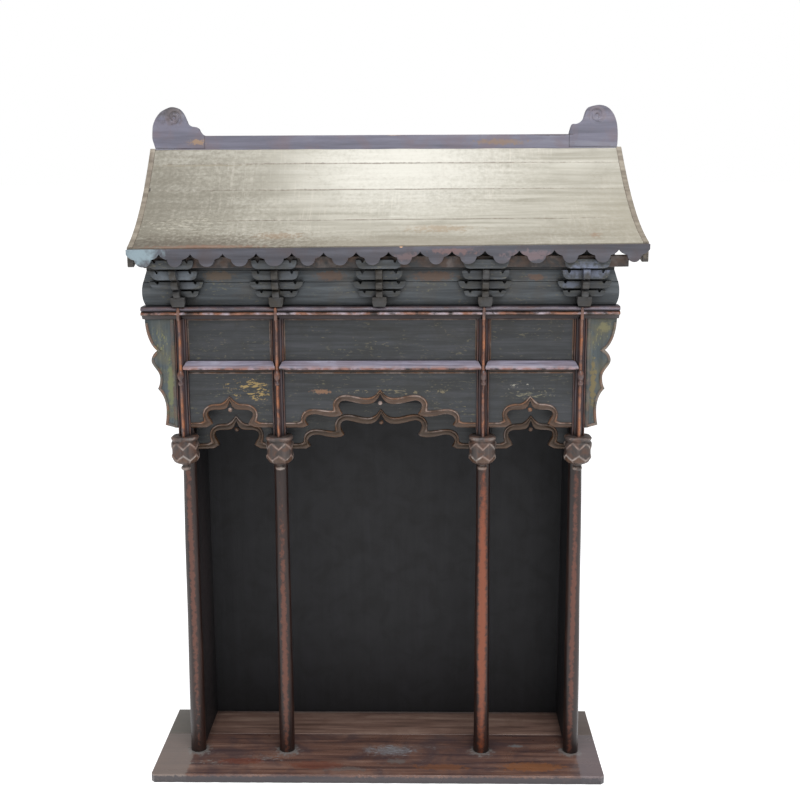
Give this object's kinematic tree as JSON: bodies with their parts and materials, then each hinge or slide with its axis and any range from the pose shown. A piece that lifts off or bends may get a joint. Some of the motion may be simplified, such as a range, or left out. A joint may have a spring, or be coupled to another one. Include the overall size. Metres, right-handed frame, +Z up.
{
  "type": "altar shrine",
  "caption": "open-fronted wooden altar shrine: round columns on a board, cusped arches, carved pendants, bracket sets and a concave single-slope roof",
  "frame": {"origin": "centre of the base board's underside", "axes": "+Z up, the open front faces -Y, +X to the viewer's right"},
  "size_m": [0.9161, 0.2747, 1.2609],
  "materials": {
    "base_wood": "worn satin lacquer",
    "column_wood": "worn satin lacquer",
    "beaded_wood": "worn lacquer, orange on the edges",
    "dark_paint": "dull blue-black paint",
    "green_paint": "dull green paint, worn",
    "trim_paint": "dusty blue-grey paint",
    "bare_plank": "weathered, satin"
  },
  "bodies": {
    "root": {"base_plank_front": "base_wood", "base_plank_back": "base_wood", "column_outer_left": "column_wood", "column_inner_left": "column_wood", "column_inner_right": "column_wood", "column_outer_right": "column_wood", "hanging_post_outer_left": "beaded_wood", "hanging_post_inner_left": "beaded_wood", "hanging_post_inner_right": "beaded_wood", "hanging_post_outer_right": "beaded_wood", "pendant_outer_left": "beaded_wood", "pendant_inner_left": "beaded_wood", "pendant_inner_right": "beaded_wood", "pendant_outer_right": "beaded_wood", "peg_outer_left": "beaded_wood", "peg_inner_left": "beaded_wood", "peg_inner_right": "beaded_wood", "peg_outer_right": "beaded_wood", "rail_upper": "beaded_wood", "rail_lower_left": "beaded_wood", "rail_lower_centre": "beaded_wood", "rail_lower_right": "beaded_wood", "back_panel": "dark_paint", "side_panel_left": "dark_paint", "side_panel_right": "dark_paint", "rear_lintel": "dark_paint", "tie_beam_left": "dark_paint", "tie_beam_right": "dark_paint", "frieze_panel_left": "dark_paint", "frieze_panel_centre": "dark_paint", "frieze_panel_right": "dark_paint", "front_apron_left": "dark_paint", "front_apron_centre": "dark_paint", "front_apron_right": "dark_paint", "rear_apron_left": "dark_paint", "rear_apron_centre": "dark_paint", "rear_apron_right": "dark_paint", "bracket_panel": "dark_paint", "strip_beam": "dark_paint", "head_board": "dark_paint", "bracket_set_1": "dark_paint", "bracket_set_2": "dark_paint", "bracket_set_3": "dark_paint", "bracket_set_4": "dark_paint", "bracket_set_5": "dark_paint", "eave_purlin": "dark_paint", "wing_board_left": "green_paint", "wing_board_right": "green_paint", "fascia_board": "trim_paint", "barge_board_left": "trim_paint", "barge_board_right": "trim_paint", "ridge_board": "trim_paint", "ridge_ornament_left": "trim_paint", "ridge_ornament_right": "trim_paint", "roof_plank_1": "bare_plank", "roof_plank_2": "bare_plank", "roof_plank_3": "bare_plank", "roof_plank_4": "bare_plank"}
  },
  "joints": []
}
